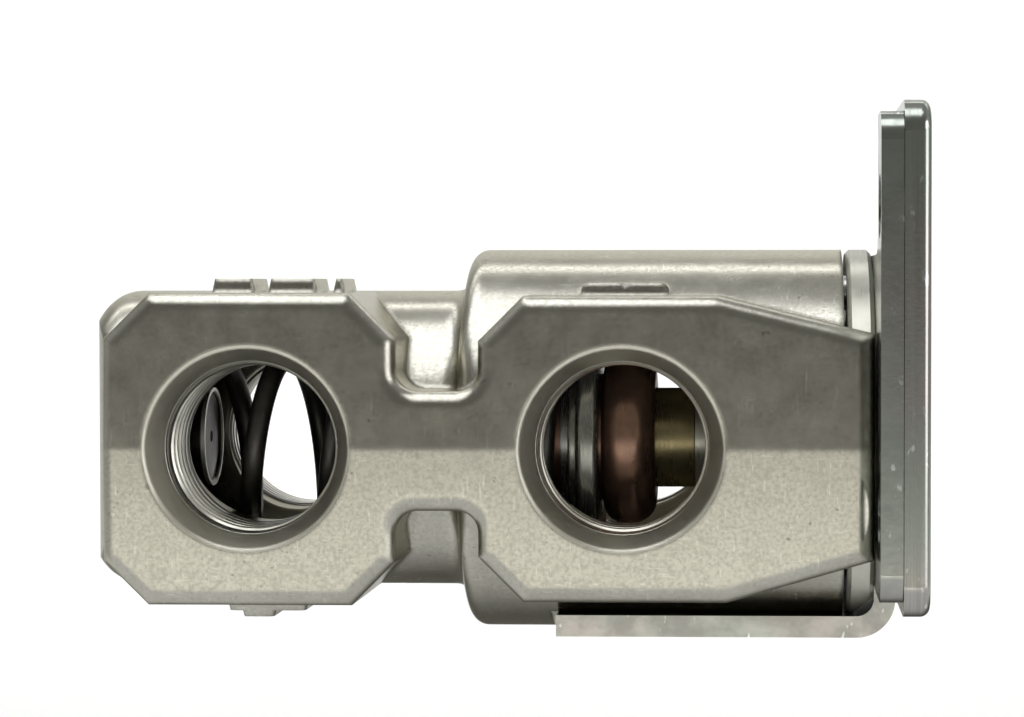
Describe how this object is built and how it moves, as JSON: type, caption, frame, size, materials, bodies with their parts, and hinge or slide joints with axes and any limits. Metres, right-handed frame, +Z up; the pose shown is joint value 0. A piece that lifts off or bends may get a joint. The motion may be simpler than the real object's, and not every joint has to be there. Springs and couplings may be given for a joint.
{
  "type": "thermostatic bypass valve",
  "caption": "In-line thermostatic bypass valve with straight-through threaded ports, a sprung wax element and a bracket with a flat mounting plate.",
  "frame": {"origin": "on the valve's axis, in the outer face of the mounting plate", "axes": "+X along the valve, out of the mounting plate; +Z up; -Y towards the front ports"},
  "size_m": [0.0967, 0.068, 0.0603],
  "materials": {
    "cast_aluminium": "satin die-cast, machined ports",
    "cap_aluminium": "satin turned",
    "zinc_steel": "bright zinc-plated sheet",
    "screw_steel": "zinc-plated",
    "o_ring_rubber": "smooth black",
    "seat_brass": "turned",
    "post_steel": "dark turned, bright rim",
    "spring_steel": "dark oiled wire",
    "disc_steel": "polished",
    "copper": "tarnished copper, crimped",
    "guide_brass": "turned brass",
    "wax": "copper-filled wax",
    "diaphragm_rubber": "thin sheet",
    "pad_plastic": "white plunger pad",
    "piston_steel": "ground"
  },
  "bodies": {
    "housing": {"valve_body": "cast_aluminium", "end_cap": "cap_aluminium", "cap_o_ring": "o_ring_rubber", "l_bracket": "zinc_steel", "mounting_plate": "zinc_steel", "clamp_screws": "screw_steel", "leg_screws": "screw_steel", "valve_seat_ring": "seat_brass", "spring_post": "post_steel", "return_spring": "spring_steel", "piston": "piston_steel"},
    "element": {"valve_disc": "disc_steel", "disc_retaining_clip": "screw_steel", "spring_cup": "disc_steel", "copper_cup": "copper", "brass_guide": "guide_brass", "wax_charge": "wax", "diaphragm": "diaphragm_rubber", "plunger_pad": "pad_plastic"}
  },
  "joints": [
    {"name": "element_slide", "type": "slide", "parent": "housing", "child": "element", "axis": [-1, 0, 0], "range_m": [0, 0.0045], "stiffness_N_per_m": 3000, "springref_m": -0.004, "deforming": ["return_spring"]}
  ]
}
